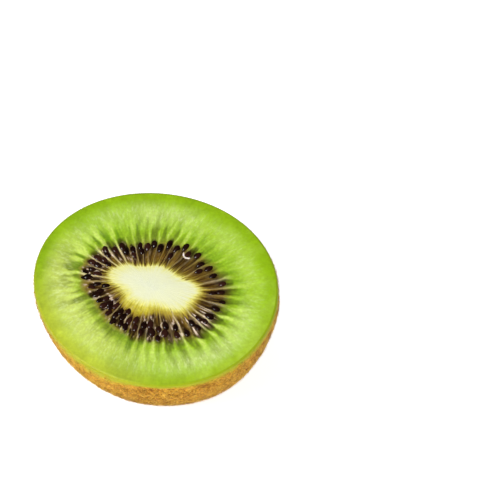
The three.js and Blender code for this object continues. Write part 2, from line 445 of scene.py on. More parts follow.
class Chambers:
    """Each chamber's and wall's own draws, so that no two look the same."""

    def __init__(self):
        draws = np.random.default_rng(CHAMBERS_SEED)

        def between(low, high):
            return draws.uniform(low, high, CHAMBERS)

        self.wall_shift = between(-0.12, 0.12)
        self.width = between(0.62, 1.12)
        self.reach = between(-0.05, 0.06)
        self.depth = between(0.75, 1.0)
        self.tone = between(-0.2, 0.2)
        self.crest_width = CREST_WIDTH * between(0.6, 2.0)
        self.crest_strength = between(0.0, 0.45)
        self.crest_reach = between(-0.06, 0.14)
        self.ray_strength = between(0.15, 1.0)
        self.ray_width = between(0.2, 0.5)
        self.shade = between(0.4, 1.0)
        for wall in GLINTING_WALLS:
            self.crest_width[wall] = 1.5 * CREST_WIDTH
            self.crest_strength[wall] = 0.9
            self.crest_reach[wall] = 0.06

    def around(self, turn):
        """The three chambers nearest to each place, and how far aside of each one's middle the place is,
        from 0 there to 1 at its walls."""
        place = turn / TAU * CHAMBERS
        for step in (-1, 0, 1):
            number = np.floor(place).astype(int) + step
            chamber = number % CHAMBERS
            low = number + self.wall_shift[chamber]
            high = number + 1 + self.wall_shift[(chamber + 1) % CHAMBERS]
            yield chamber, np.abs(place - (low + high) / 2) / ((high - low) / 2)

    def nearest_wall(self, turn):
        """The wall nearest to each place, and how far off it is, as a share of a chamber."""
        place = turn / TAU * CHAMBERS
        nearest = np.round(place).astype(int)
        wall = nearest % CHAMBERS
        return wall, np.abs(place - nearest - self.wall_shift[wall])

    def hollows(self, turn, out):
        """Masks of the chambers' long ovals, from the core's edge into their green shadows, and of each
        chamber's own tone."""
        angle = chamber_angle(turn)
        start = level(angle, *HOLLOW_START)
        end = level(angle, *HOLLOW_END)
        uneven = 1 + 0.16 * streaks(turn, out, *WALL_EDGES)
        inside = np.zeros(np.shape(out))
        tone = np.zeros(np.shape(out))
        for chamber, aside in self.around(turn):
            along = np.clip(out / (end + self.reach[chamber]), 0, 1)
            width = self.width[chamber] * uneven * lerp(0.75, 1.0, rise(0.0, 0.4, along))
            width = width * np.sqrt(1 - (np.clip(along - 0.7, 0, 0.3) / 0.3) ** 2)
            softness = lerp(0.14, 0.3, rise(0.7, 0.9, along))
            mask = fade(width - softness, width + 0.12, aside) * self.depth[chamber]
            mask = mask * rise(start - 0.04, start + 0.06, out) * fade(0.9, 1.0, along)
            tone = np.where(mask > inside, self.tone[chamber], tone)
            inside = np.maximum(inside, mask)
        return inside, tone

    def shadows(self, turn, out):
        """From 0 to 1 in the dark green wedges that run on outwards from the chambers to their tips."""
        angle = chamber_angle(turn)
        start = green_start(angle) - 0.06
        end = level(angle, *SHADOW_END) + SHADOW_TIP
        shade = np.zeros(np.shape(out))
        for chamber, aside in self.around(turn):
            tip = end + 3 * self.reach[chamber]
            along = np.clip((out - start) / (tip - start), 0, 1)
            width = lerp(0.9, 0.6, along)
            wedge = fade(width - 0.5, width + 0.15, aside) * (1 - along) ** 0.8
            shade = np.maximum(shade, wedge * self.shade[chamber])
        return shade

    def crests(self, turn, out):
        """From 0 to 1 on the thin pale line along the top of the wall between two chambers."""
        wall, away = self.nearest_wall(turn)
        line = np.exp(-((away / self.crest_width[wall]) ** 2))
        end = level(chamber_angle(turn), *RING_OUTSIDE) + self.crest_reach[wall]
        return line * self.crest_strength[wall] * fade(end - 0.12, end + 0.02, out)

    def rays(self, turn, out):
        """From 0 to 1 in the soft pale rays that run on outwards from the walls."""
        wall, away = self.nearest_wall(turn)
        end = level(chamber_angle(turn), *SHADOW_END) + 0.04 + self.crest_reach[wall]
        width = self.ray_width[wall] * lerp(0.7, 1.3, rise(0.35, 0.6, out))
        return fade(0.0, width, away) * fade(end - 0.1, end + 0.14, out) * self.ray_strength[wall]


CHAMBER_DRAWS = Chambers()


def swayed(turn, out):
    """The turn of the straight wall that a place on the waving walls belongs to; the seeds' row stays."""
    free = 1 - rise(0.08, 0.2, out) * fade(0.3, 0.5, out)
    return turn + WALL_SWAY * streaks(turn, out, *WALL_SWAYS) * free * TAU / CHAMBERS


def seed_closeness(flat_points, reach):
    """1 at a seed's edge and inside it, falling to 0 this far from it."""
    closeness = np.zeros(flat_points.shape[:-1])
    for middle, heading, size in SEEDS:
        away = flat_points - middle
        along = away[..., 0] * math.cos(heading) + away[..., 1] * math.sin(heading)
        across = away[..., 1] * math.cos(heading) - away[..., 0] * math.sin(heading)
        half_long = SEED_LENGTH * size / 2
        half_wide = SEED_WIDTH * size / 2
        beyond = (np.hypot(along / half_long, across / half_wide) - 1) * half_wide
        closeness = np.maximum(closeness, 1 - np.clip(beyond / reach, 0, 1))
    return closeness


def off_crescent(seed):
    """How far round the fruit a seed is from the one with a painted highlight along its wet edge."""
    x, y = seed[0]
    return abs(math.atan2(y, x) - math.radians(CRESCENT_TURN))


def crescent_highlight(flat_points):
    """Painted highlight: a bright wet edge along the inner end of one seed, that stands a little free
    of its chamber.
    """
    middle, heading, size = min(SEEDS, key=off_crescent)
    away = flat_points - middle
    share = np.linalg.norm(away, axis=-1) / (SEED_LENGTH * size / 2)
    band = rise(0.85, 0.95, share) * fade(1.15, 1.3, share)
    turned = np.arctan2(away[..., 1], away[..., 0]) - heading
    return band * rise(0.1, 0.6, np.cos(turned))


def face_zone(angle, out):
    """Counts the face's belts: 1 at the core's edge, 2 and 3 at the seed ring's edges, 4 where the green
    shadows end, 5 where the edge rounds over."""
    knots = [0.0, level(angle, *RING_INSIDE), green_start(angle), level(angle, *SHADOW_END), 1.0]
    zone = np.ones(np.broadcast(angle, out).shape)
    for low, high in zip(knots, knots[1:]):
        zone = zone + np.clip((out - low) / (high - low), 0, 1)
    return zone


def yellow_by_core(angle, zone):
    """Where the belt between the core and the seeds is a clear yellow."""
    belt = rise(0.95, 1.2, zone) * fade(1.7, 2.1, zone)
    return CLEAR_YELLOW * np.clip(level(angle, *YELLOW_BELT), 0, 1) * belt


def warmth(angle, zone):
    """How yellow the flesh is: by the core, in the belts beyond the ring, and most at the rim."""
    within = 0.45 * towards(angle, WARM_TURN, 0.2, 0.95) * rise(2.9, 4.3, zone)
    at_rim = 0.8 * towards(angle, RIM_WARM_TURN, 0.5)
    at_rim = np.maximum(at_rim, 0.25 * towards(angle, RIM_GLOW_TURN, 0.0, 0.9))
    return lerp(within, at_rim, rise(4.5, 5.0, zone)) + yellow_by_core(angle, zone)


def whiter(angle, out):
    """How much the belts round the core move outwards."""
    beside = level(angle, *WHITER_BESIDE) * rise(0.02, 0.08, out)
    return (level(angle, *WHITER) + beside) * fade(0.0, 0.25, out)


def darkness(angle, zone):
    """How dark the chambers' insides are, which changes round the fruit and from their inner ends out."""
    inner = 0.5 + 0.42 * np.cos(angle - math.radians(DARK_TURN))
    return lerp(inner, level(angle, *DARK_OUTSIDE), rise(1.3, 2.2, zone))


def face_noise(flat, cell, seed):
    """Smooth noise over the face, for places seen from above."""
    return lattice_noise(raised(flat, 0.0), cell, seed)


class CutFace:
    """The cut face outside the core, for a grid of turns and outs."""

    def __init__(self, turn, out):
        self.turn = turn
        self.out = out
        self.angle = chamber_angle(turn)
        self.straight = swayed(turn, out)
        self.flat = face_flat(turn, out)
        self.fibres = self.streaks(FIBRES)
        self.threads = self.streaks(THREADS)
        self.grit = 0.7 * self.streaks(COARSE_GRIT) + 0.7 * self.streaks(FINE_GRIT)
        self.patches = face_noise(self.flat, *PATCHES)
        self.near_seed = seed_closeness(self.flat, MENISCUS_REACH)
        self.crest = CHAMBER_DRAWS.crests(self.straight, out) * self.level(WALL_GLOW)
        self.in_ring = self.ring()
        self.zone = self.belts()
        self.hollow, self.dark = self.chambers()

    def streaks(self, kind):
        return streaks(self.turn, self.out, *kind)

    def level(self, table):
        return level(self.angle, *table)

    def ring(self):
        """1 in the sunk ring with the seeds, and 0 outside it."""
        inside = self.level(RING_INSIDE)
        outside = self.level(RING_OUTSIDE)
        past_core = rise(inside - 0.1, inside + 0.04, self.out)
        return past_core * fade(outside - 0.04, outside + 0.12, self.out)

    def belts(self):
        """The face's belts, with ragged and fibrous borders."""
        ragged = 0.03 * self.streaks(RAGGED_BELTS) + 0.02 * self.grit
        ragged = ragged * rise(0.2, 0.35, self.out) * fade(0.5, 0.7, self.out)
        zone = face_zone(self.angle, self.out + ragged)
        return zone + 0.16 * self.fibres * fade(0.1, 0.5, self.out) - whiter(self.angle, self.out)

    def chambers(self):
        """From 0 to 1 inside the chambers and between the fibres by the core, and how dark it is there."""
        hollow, tone = CHAMBER_DRAWS.hollows(self.straight, self.out)
        near_core = rise(1.0, 1.2, self.zone) * fade(1.8, 2.3, self.zone)
        hollow = np.maximum(hollow, 0.8 * near_core * rise(0.1, 0.6, self.threads))
        dark = darkness(self.angle, self.zone) + tone + 0.45 * self.near_seed * self.in_ring
        dark = dark + 0.5 * (self.fibres + 0.7 * self.threads)
        brown = 1 - yellow_by_core(self.angle, self.zone)
        return hollow * brown, np.clip(dark, 0, 1) * brown

    def film_and_glints(self):
        """How strong the scraps of pale membrane in the ring are, with painted wet glints where they are
        strongest, on some walls and along fine threads, and the painted highlight on one seed's wet edge.
        """
        away_from_gold = 1 - towards(self.angle, GOLDEN_TURN, -0.2, 0.8)
        scraps = rise(0.1, 0.7, self.grit) * self.in_ring * lerp(0.15, 1.0, away_from_gold)
        edge = 2.0 * crescent_highlight(self.flat)
        walls = 1.1 * rise(0.5, 0.85, self.crest) * rise(-0.2, 0.5, self.grit) * self.in_ring
        wet = towards(self.angle, GLINT_TURN, 0.8, 0.97) * self.in_ring
        threads = 1.2 * wet * rise(0.2, 0.65, 0.7 * self.fibres + 0.7 * self.threads)
        return np.maximum.reduce([scraps, edge, walls, threads])

    def height(self):
        out = self.out
        crown = np.sin(math.pi * np.clip((out - CROWN_START) / (1 - CROWN_START), 0, 1))
        sink = CHAMBER_SINK - HOLLOW_DEPTH * (1 - self.hollow) - MENISCUS_HEIGHT * self.near_seed
        height = HEIGHT + FLESH_CROWN * crown - self.in_ring * sink
        height = height + FIBRE_HEIGHT * self.fibres * rise(0.02, 0.1, out) * fade(0.4, 0.7, out)
        height = height + (CREST_HEIGHT * self.crest + GRIT_HEIGHT * self.grit) * self.in_ring
        grains = self.streaks(GRAINS) * rise(0.4, 0.6, out) * fade(0.75, 0.95, out)
        return height + GRAIN_HEIGHT * grains + PATCH_HEIGHT * self.patches * rise(0.3, 0.6, out)

    def ray_and_painted_light(self):
        """Above 0 in the flesh's pale rays, and below it in its dark shadows, with painted light and shade
        round the core added on.
        """
        out = self.out
        streaky = 0.6 * self.streaks(BROAD_RAYS) + 0.5 * self.streaks(FINE_RAYS)
        ray_and_painted_light = CHAMBER_DRAWS.rays(self.straight, out) - CHAMBER_DRAWS.shadows(self.straight, out)
        ray_and_painted_light = ray_and_painted_light + streaky * lerp(0.9, 0.2, rise(0.5, 0.75, out))
        ray_and_painted_light = ray_and_painted_light * self.level(LIVELINESS) * (1 - 0.5 * rise(0.56, 0.7, out))
        ray_and_painted_light = ray_and_painted_light + 0.18 * face_noise(self.flat, *RAY_CLOUDS)
        # Painted light and shade: the flesh made brighter or darker round the core, close to the ring,
        # further out and at the rim.
        inner = self.level(INNER_TONE_AND_PAINTED_LIGHT)
        outer = self.level(OUTER_TONE_AND_PAINTED_LIGHT)
        ray_and_painted_light = ray_and_painted_light + lerp(inner, outer, rise(0.5, 0.68, out))
        ray_and_painted_light = ray_and_painted_light + self.level(RIM_TONE_AND_PAINTED_LIGHT) * rise(0.86, 0.96, out)
        return np.clip(ray_and_painted_light * rise(2.9, 3.3, self.zone), -1, 1)

    def points(self):
        return raised(self.flat, self.height())

    def masks(self):
        thready = lerp(0.9, 0.25, rise(1.3, 2.4, self.zone))
        soft = 0.4 * self.patches + 0.3 * face_noise(self.flat, *SMALL_PATCHES)
        return {
            "zone": self.zone,
            "hollow": np.clip(self.hollow * (1 + thready * self.fibres), 0, 1),
            "crest": self.crest * rise(-0.02, 0.05, self.out),
            "ray_and_painted_light": self.ray_and_painted_light(),
            "dark": self.dark,
            "film_and_glints": self.film_and_glints(),
            "warm": warmth(self.angle, self.zone),
            "pale_and_sheen": np.clip(soft + self.level(PALENESS_AND_SHEEN), -1, 1),
        }


def core_layer(turn, share):
    """Points and masks of the core, from near its middle, where share is 0, to its edge, 1."""
    angle = chamber_angle(turn)
    flat = lerp(np.array(CORE_MIDDLE), core_edge(angle), share[..., None])
    fibres = streaks(turn, share * 0, *FIBRES)
    soft = face_noise(flat, *CORE_PATCHES)
    height = HEIGHT + CORE_RISE * (1 - share**2) + CORE_PATCH_HEIGHT * soft
    points = raised(flat, height)
    masks = dict.fromkeys(MASKS, np.zeros(share.shape))
    masks["zone"] = share + (0.16 * fibres - whiter(angle, share * 0)) * rise(0.5, 1.0, share)
    masks["pale_and_sheen"] = soft * fade(0.75, 1.0, share)
    return points, masks


# ---- Meshes ----


def new_object(name, data):
    thing = bpy.data.objects.new(name, data)
    bpy.context.scene.collection.objects.link(thing)
    return thing


def new_mesh(name, points, faces, material):
    """A mesh object from points in millimetres."""
    mesh = bpy.data.meshes.new(name)
    mesh.from_pydata((np.asarray(points) * MM).tolist(), [], faces)
    mesh.materials.append(material)
    return new_object(name, mesh)


def new_piece(name, points, faces, material):
    """A smooth mesh object that rides on the part's body."""
    piece = new_mesh(name, points, faces, material)
    piece.data.polygons.foreach_set("use_smooth", [True] * len(faces))
    piece.data.update()
    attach(piece, BODY)
    return piece


def add_attribute(piece, name, values):
    """A number for each point of the mesh, for its material to read."""
    attribute = piece.data.attributes.new(name, "FLOAT", "POINT")
    attribute.data.foreach_set("value", np.asarray(values, np.float32))


def closed_rings(rings):
    """Points and faces of a closed surface: rings of points, with one point in the middle of each end."""
    rows, columns = rings.shape[:2]
    points = np.concatenate([[rings[0].mean(0)], rings.reshape(-1, 3), [rings[-1].mean(0)]])
    row = 1 + np.arange(rows - 1)[:, None] * columns
    column = np.arange(columns)
    ahead = (column + 1) % columns
    corners = [row + column, row + ahead, row + columns + ahead, row + columns + column]
    faces = np.stack(corners, -1).reshape(-1, 4).tolist()
    top = 1 + (rows - 1) * columns
    end = len(points) - 1
    for here, following in zip(column.tolist(), ahead.tolist()):
        faces.append((0, 1 + following, 1 + here))
        faces.append((top + here, top + following, end))
    return points, faces


def ended(values):
    """Values for closed_rings' points: those of its rings, with their means for its two ends."""
    flat = values.reshape(-1, *values.shape[2:])
    return np.concatenate([[values[0].mean(0)], flat, [values[-1].mean(0)]])


def shrunk(points, by):
    """Points moved in from the outside by about this much, towards the middle of the cut."""
    middle = np.array([0, 0, HEIGHT])
    return middle + (points - middle) * (1 - by / (LONG_AXIS / 2))


# ---- The flesh ----

LAY_RADIUS = 18.0  # of the circle on which the fibres' pattern is laid out
LAY_ALONG = 0.35  # how much of a fibre's length counts in the pattern, so that it is drawn out in streaks


def side_layer(turn):
    """Points and masks from the hidden underside up over the rounded edge."""
    hidden = shrunk(dome_points(turn, dome_depths(HIDDEN_ROWS)), FLESH_INSET)
    rounds = np.linspace(0, 1, EDGE_ROWS)
    edge = edge_points(turn, rounds, EDGE_ROUND - FLESH_INSET * fade(0.05, 0.3, rounds))
    side = np.concatenate([hidden, edge[:-1]])
    past_rim = np.concatenate([np.full(HIDDEN_ROWS, float(ZONES)), ZONES - rounds[:-1]])[:, None]
    masks = dict.fromkeys(MASKS, np.zeros(side.shape[:2]))
    masks["zone"] = np.broadcast_to(past_rim, side.shape[:2])
    masks["warm"] = warmth(chamber_angle(turn)[None], past_rim)
    return side, masks


def flesh_layers():
    """Rings of points and masks, from the hidden underside up over the edge to the core's middle."""
    turn = turns(FACE_COLUMNS)
    outer = np.linspace(1, RING_ROWS_END, FLESH_ROWS)
    inner = np.linspace(RING_ROWS_END, 0, RING_ROWS)[1:]
    face = CutFace(*np.meshgrid(turn, np.concatenate([outer, inner])))
    shares = np.linspace(1, CORE_HOLE, CORE_ROWS)[1:]
    return [side_layer(turn), (face.points(), face.masks()), core_layer(*np.meshgrid(turn, shares))]


def make_flesh(material):
    layers = flesh_layers()
    rings = np.concatenate([points for points, _ in layers])
    points, faces = closed_rings(rings)
    piece = new_piece("flesh", points, faces, material)
    for name in MASKS:
        rows = np.concatenate([masks[name] for _, masks in layers])
        add_attribute(piece, name, ended(rows))
    turn = np.broadcast_to(turns(FACE_COLUMNS), rings.shape[:2])
    out = np.linalg.norm(rings[..., :2], axis=-1)
    lay = np.stack([LAY_RADIUS * np.cos(turn), LAY_RADIUS * np.sin(turn), LAY_ALONG * out], -1)
    attribute = piece.data.attributes.new("lay", "FLOAT_VECTOR", "POINT")
    attribute.data.foreach_set("vector", ended(lay).astype(np.float32).ravel())
    return piece


# ---- The skin ----


def skin_outside():
    """The skin's outer side: rings of points from the flat spot to the lip, and their normals."""
    turn = turns(SKIN_COLUMNS)
    dome = dome_points(turn, dome_depths(SKIN_ROWS))
    rounds = np.linspace(0, SKIN_LIP, SKIN_EDGE_ROWS)[1:]
    edge = edge_points(turn, rounds, np.full(len(rounds), EDGE_ROUND))
    rings = np.concatenate([dome, edge])
    along = np.roll(rings, -1, 1) - np.roll(rings, 1, 1)
    normals = np.cross(along, np.gradient(rings, axis=0))
    normals /= np.linalg.norm(normals, axis=-1, keepdims=True)
    relief = SKIN_SWELL_HEIGHT * lattice_noise(rings, *SKIN_SWELLS)
    relief = relief + SKIN_BUMP_HEIGHT * lattice_noise(rings, *SKIN_BUMPS)
    # The flat spot stays flat, and the lip stays on the edge.
    height = rings[..., 2]
    keep = rise(0.2, 2.0, height) * fade(HEIGHT - 1.2, HEIGHT - 0.3, height)
    return rings + normals * (relief * keep)[..., None], normals


def under_lip(points):
    """How far each point is below the cut, as a share of how far down the skin stays smooth and golden."""
    angle = np.arctan2(points[..., 1], points[..., 0])
    there = towards(angle, LIP_TURN, 0.7, 0.95)
    other = towards(angle, OTHER_LIP_TURN, 0.65)
    return (HEIGHT - EDGE_ROUND - points[..., 2]) / (0.9 + 4.5 * there + 2.0 * other)


def darker_below(height):
    """How much browner the skin and its fuzz are towards the flat spot."""
    return 0.4 * fade(5.0, 21.0, height)


def make_skin(material, outside):
    turn = turns(SKIN_COLUMNS)
    bend = np.linspace(0, math.pi, LIP_ROWS)[1:]
    reach = EDGE_ROUND - SKIN_THICKNESS / 2 * (1 - np.cos(bend))
    over = SKIN_THICKNESS / 2 * np.sin(bend) / EDGE_ROUND / (math.pi / 2)
    lip = edge_points(turn, SKIN_LIP + over, reach)
    inner = shrunk(dome_points(turn, dome_depths(HIDDEN_ROWS)[::-1]), SKIN_THICKNESS)
    points, faces = closed_rings(np.concatenate([outside, lip, inner]))
    piece = new_piece("skin", points, faces, material)
    add_attribute(piece, "below", under_lip(points))
    out = np.linalg.norm(points[:, :2], axis=-1)
    scar = SCAR_STRENGTH * fade(*SCAR_REACH, out) * (points[:, 2] < 0.5)
    add_attribute(piece, "low", darker_below(points[:, 2]) + scar)
    return piece


# ---- The seeds ----

SEED_WIDEST = 0.44  # where along a seed it is widest, from its round end


def seed_mesh():
    """A smooth drop: round at -X, pointed at +X, flattened along Z, one unit long, wide and thick."""
    along = (1 - np.cos(np.linspace(0, math.pi, SEED_ALONG + 1)[1:-1])) / 2
    half = 0.5 * (along / SEED_WIDEST) ** 0.5 * ((1 - along) / (1 - SEED_WIDEST)) ** 0.64
    turn = turns(SEED_AROUND)
    y = half[:, None] * np.cos(turn)
    z = half[:, None] * np.sin(turn)
    x = np.broadcast_to((along - 0.5)[:, None], y.shape)
    points, faces = closed_rings(np.stack([x, y, z], -1))
    points[0] = (-0.5, 0, 0)
    points[-1] = (0.5, 0, 0)
    return points, faces


def make_seeds(material):
    shape, shape_faces = seed_mesh()
    draws = np.random.default_rng(SHAPES_SEED)
    bodies = []
    faces = []
    shades = []
    for i, (middle, heading, size) in enumerate(SEEDS):
        body = shape * (SEED_LENGTH * size, SEED_WIDTH * size, SEED_THICKNESS * size)
        body[:, 1] *= draws.uniform(0.92, 1.12)
        body = body + SEED_DENT_DEPTH * lattice_noise(body + 9.0 * i, *SEED_DENTS)[:, None]
        pitch = draws.uniform(-0.16, 0.16)
        roll = draws.uniform(-0.35, 0.35)
        body = body @ np.array(Euler((roll, pitch, heading)).to_matrix()).T
        place = (*middle, HEIGHT - CHAMBER_SINK + SEED_RISE + draws.uniform(-0.05, 0.05))
        bodies.append(body + place)
        faces += [[corner + i * len(shape) for corner in face] for face in shape_faces]
        shades.append(np.full(len(shape), draws.uniform(0, 1)))
    piece = new_piece("seeds", np.concatenate(bodies), faces, material)
    add_attribute(piece, "tint", np.concatenate(shades))
    return piece


# ---- The fuzz ----


def unit(vectors):
    return vectors / np.linalg.norm(vectors, axis=-1, keepdims=True)


def hair_points(root, normal, axis_parts, thick):
    """Each hair's seven points: a thin three-sided spike along two straight parts."""
    start = root - normal * HAIR_ROOT_DEPTH
    middle = root + axis_parts[0]
    tip = middle + axis_parts[1]
    axis = unit(tip - start)
    a = unit(np.cross(axis, normal))
    b = np.cross(axis, a)
    points = []
    for centre, radius in ((start, thick / 2), (middle, thick * 0.4)):
        for turn in turns(3):
            points.append(centre + (a * math.cos(turn) + b * math.sin(turn)) * radius)
    points = np.stack([*points, tip], 1)
    points[..., 2] = np.maximum(points[..., 2], HAIR_CLEARANCE)
    return points


def make_fuzz(name, material, rings, normals, count, length, width, lift, seed):
    """Hairs on the skin that mostly lean down towards the flat spot."""
    draws = np.random.default_rng(seed)
    right = np.roll(rings, -1, 1)[:-1] - rings[:-1]
    up = rings[1:] - rings[:-1]
    area = np.linalg.norm(np.cross(right, up), axis=-1)
    low = rings[:-1]
    below = under_lip(low)
    patchy = 0.45 * lattice_noise(low, *FUZZ_PATCHES)
    weight = area * lerp(0.16, 1.0, rise(0.1, 1.0, below + patchy))
    weight = weight * (low[..., 2] > 0.3) * (below > 0)
    chosen = draws.choice(weight.size, count, p=weight.ravel() / weight.sum())
    at = np.divmod(chosen, rings.shape[1])
    s = draws.random((count, 1))
    t = draws.random((count, 1))
    root = rings[at] + right[at] * s + up[at] * t
    normal = normals[at]
    down = unit(-up[at])
    side = np.cross(normal, down)

    swing = draws.normal(0, 1.0, (count, 1))
    lean = down * np.cos(swing) + side * np.sin(swing)
    steep = draws.uniform(*lift, (count, 1))
    half = draws.uniform(*length, (count, 1)) * 0.5
    thick = width * draws.uniform(0.7, 1.2, (count, 1))
    flatter = steep * draws.uniform(0.2, 0.9, (count, 1))
    parts = [(lean * np.cos(slope) + normal * np.sin(slope)) * half for slope in (steep, flatter)]
    points = hair_points(root, normal, parts, thick)

    size = len(HAIR_ALONG)
    faces = (np.arange(count)[:, None, None] * size + np.array(HAIR_FACES)).reshape(-1, 3)
    piece = new_piece(name, points.reshape(-1, 3), faces.tolist(), material)
    along = np.tile(HAIR_ALONG, count)
    add_attribute(piece, "along", along)
    lower = root * np.array([1.0, 1.0, 0.5])
    clumps = 0.9 * lattice_noise(lower, *FUZZ_CLUMPS) + 1.5 * lattice_noise(lower, *FUZZ_TUFTS)
    tint = 0.55 + 0.55 * clumps + 0.4 * draws.normal(size=count) - darker_below(root[:, 2])
    angle = np.arctan2(low[at][:, 1], low[at][:, 0])
    tint = np.clip(tint + level(angle, *PALER_FUZZ), 0, 1)
    add_attribute(piece, "tint", np.repeat(tint, size))
    add_bake_map(piece, tint, along, faces)


def add_bake_map(piece, tint, along, faces):
    """A texture map named OFBake: a strip to each hair's tint, its length along the strip."""
    strip = np.repeat(tint, len(HAIR_FACES))[:, None] * 0.98 + 0.005 + np.array([0, 0.004, 0.008])
    coordinates = np.stack([strip, along[faces] * 0.98 + 0.01], -1)
    layer = piece.data.uv_layers.new(name="OFBake")
    layer.data.foreach_set("uv", coordinates.astype(np.float32).ravel())


# ---- Materials ----


def srgb(red, green, blue):
    """A colour as a picture gives it, from 0 to 255, for a shader."""
    linear = []
    for value in (red, green, blue):
        share = value / 255
        linear.append(share / 12.92 if share <= 0.04045 else ((share + 0.055) / 1.055) ** 2.4)
    return (*linear, 1.0)


# Stops of colour ramps: a place on the ramp, and its colour. On the flesh the places are belts.
FLESH_GROUND = [
    (0.0, 238, 242, 213),
    (0.65, 238, 240, 202),
    (0.9, 236, 235, 162),
    (1.15, 226, 220, 112),
    (1.5, 190, 172, 66),
    (2.1, 142, 114, 46),
    (2.8, 144, 122, 50),
    (3.05, 150, 161, 46),
    (3.4, 150, 184, 38),
    (3.9, 160, 200, 42),
    (4.3, 172, 210, 52),
    (4.5, 171, 211, 48),
    (4.65, 163, 204, 30),
    (4.8, 153, 194, 20),
    (4.95, 149, 189, 18),
    (5.2, 143, 171, 14),
    (5.5, 146, 166, 16),
    (5.8, 156, 162, 24),
    (6.0, 162, 158, 28),
]
YELLOW_FLESH = [
    (1.0, 228, 221, 112),
    (1.3, 208, 197, 64),
    (1.6, 190, 174, 42),
    (2.0, 164, 142, 30),
    (2.8, 216, 221, 104),
    (4.5, 216, 221, 104),
    (4.9, 207, 217, 72),
    (5.2, 184, 189, 44),
    (5.6, 176, 174, 32),
    (6.0, 172, 168, 32),
]
BRIGHT_CHAMBER = [
    (1.0, 214, 206, 90),
    (1.5, 162, 138, 28),
    (2.1, 104, 72, 8),
    (2.8, 84, 62, 12),
    (3.1, 100, 110, 20),
    (3.6, 126, 160, 28),
    (4.1, 152, 192, 44),
]
DEEP_CHAMBER = [
    (1.0, 150, 124, 40),
    (1.5, 72, 48, 8),
    (2.1, 40, 18, 4),
    (2.9, 30, 12, 4),
    (3.15, 58, 58, 8),
    (3.6, 94, 120, 14),
    (4.1, 140, 180, 34),
]
WALL_CRESTS = [
    (1.0, 236, 230, 150),
    (1.7, 206, 190, 124),
    (2.6, 204, 184, 146),
    (3.2, 214, 222, 134),
    (4.2, 210, 230, 124),
]
SKIN_GROUND = [
    (0.34, 100, 50, 10),
    (0.44, 166, 106, 26),
    (0.54, 210, 149, 40),
    (0.66, 238, 191, 62),
]
GOLDEN_LIP = [
    (0.0, 160, 174, 34),
    (0.3, 174, 170, 38),
    (0.6, 190, 165, 44),
    (0.9, 204, 158, 48),
]
SEED_GROUND = [
    (0.0, 18, 5, 3),
    (0.6, 30, 10, 6),
    (1.0, 54, 26, 18),
]
# The flesh's pale colour, also laid where sheen is painted.
PALE_FLESH_AND_SHEEN = srgb(210, 231, 136)
# The pale and dark greens of the rays and shadows, also laid where light and shade are painted round the
# core.
RAY_GREEN = srgb(214, 236, 114)
SHADOW_GREEN = srgb(94, 142, 12)
SHADOW_OLIVE = srgb(98, 114, 30)
FLECK_AND_GLINT = srgb(222, 238, 160)
THIN_FILM = srgb(176, 150, 112)
# Painted glint and highlight colours, laid over the membrane where its mask is strongest.
FILM_GLINT = srgb(238, 218, 200)
WET_HIGHLIGHT = srgb(250, 240, 230)
SKIN_GOLD = srgb(232, 182, 76)
SKIN_BROWN = srgb(134, 78, 20)
SKIN_PORE = srgb(112, 66, 18)
SKIN_LOW = srgb(96, 58, 14)
SEED_BLOOM = srgb(64, 34, 24)
FUZZ_ROOTS = (srgb(108, 60, 14), srgb(212, 154, 40))
FUZZ_TIPS = (srgb(162, 104, 25), srgb(252, 228, 108))
FLOOR_SHADES = (srgb(240, 241, 244), srgb(244, 245, 246))


class Shader:
    """Builds a material's nodes, with a call for each kind of node."""

    def __init__(self, name):
        self.material = bpy.data.materials.new(name)
        self.material.use_nodes = True
        self.tree = self.material.node_tree
        self.surface = self.tree.nodes["Principled BSDF"]

    def connect(self, value, socket):
        """Links a node's output to a socket, or sets the socket to a plain value."""
        if isinstance(value, bpy.types.NodeSocket):
            self.tree.links.new(value, socket)
        else:
            socket.default_value = value

    def node(self, kind, inputs, output=0, **settings):
        """Adds a node and gives its output. Its inputs are values or other nodes' outputs."""
        node = self.tree.nodes.new(kind)
        for key, value in settings.items():
            setattr(node, key, value)
        for socket, value in inputs.items():
            self.connect(value, node.inputs[socket])
        return node.outputs[output]

    def set(self, **values):
        for name, value in values.items():
            self.connect(value, self.surface.inputs[name.replace("_", " ")])

    def attribute(self, name, output="Fac"):
        return self.node("ShaderNodeAttribute", {}, output, attribute_name=name)

    def scaled(self, vector, by):
        return self.node("ShaderNodeVectorMath", {0: vector, "Scale": by}, operation="SCALE")

    def place(self):
        """The point's own place in millimetres."""
        return self.scaled(self.node("ShaderNodeTexCoord", {}, "Object"), 1 / MM)

    def noise(self, vector, scale, detail=3.0, roughness=0.6):
        inputs = {"Vector": vector, "Scale": scale, "Detail": detail, "Roughness": roughness}
        return self.node("ShaderNodeTexNoise", inputs, "Fac")

    def cells(self, vector, scale):
        """Distance from the nearest of many scattered points."""
        return self.node("ShaderNodeTexVoronoi", {"Vector": vector, "Scale": scale}, "Distance")

    def math(self, operation, a, b):
        return self.node("ShaderNodeMath", {0: a, 1: b}, operation=operation)

    def times(self, a, b):
        return self.math("MULTIPLY", a, b)

    def plus(self, a, b):
        return self.math("ADD", a, b)

    def stretch(self, value, low, high, to_low=0.0, to_high=1.0):
        """The value's range from low to high, moved to another range and kept within it."""
        inputs = {"Value": value, "From Min": low, "From Max": high, "To Min": to_low, "To Max": to_high}
        return self.node("ShaderNodeMapRange", inputs, "Result")

    def ramp(self, value, stops, length=1):
        """Colours at places from 0 to this length, for a value from 0 to 1."""
        colours = self.node("ShaderNodeValToRGB", {"Fac": value}, "Color")
        elements = colours.node.color_ramp.elements
        for place, *_ in stops[2:]:
            elements.new(place / length)
        for element, (place, *colour) in zip(elements, stops):
            element.position = place / length
            element.color = srgb(*colour)
        return colours

    def mix(self, share, a, b):
        return self.node("ShaderNodeMix", {0: share, 6: a, 7: b}, 2, data_type="RGBA")

    def bump(self, height, depth, **under):
        """Relief of this depth in millimetres, on top of the relief that Normal gives."""
        return self.node("ShaderNodeBump", {"Height": height, "Distance": depth * MM, **under}, "Normal")


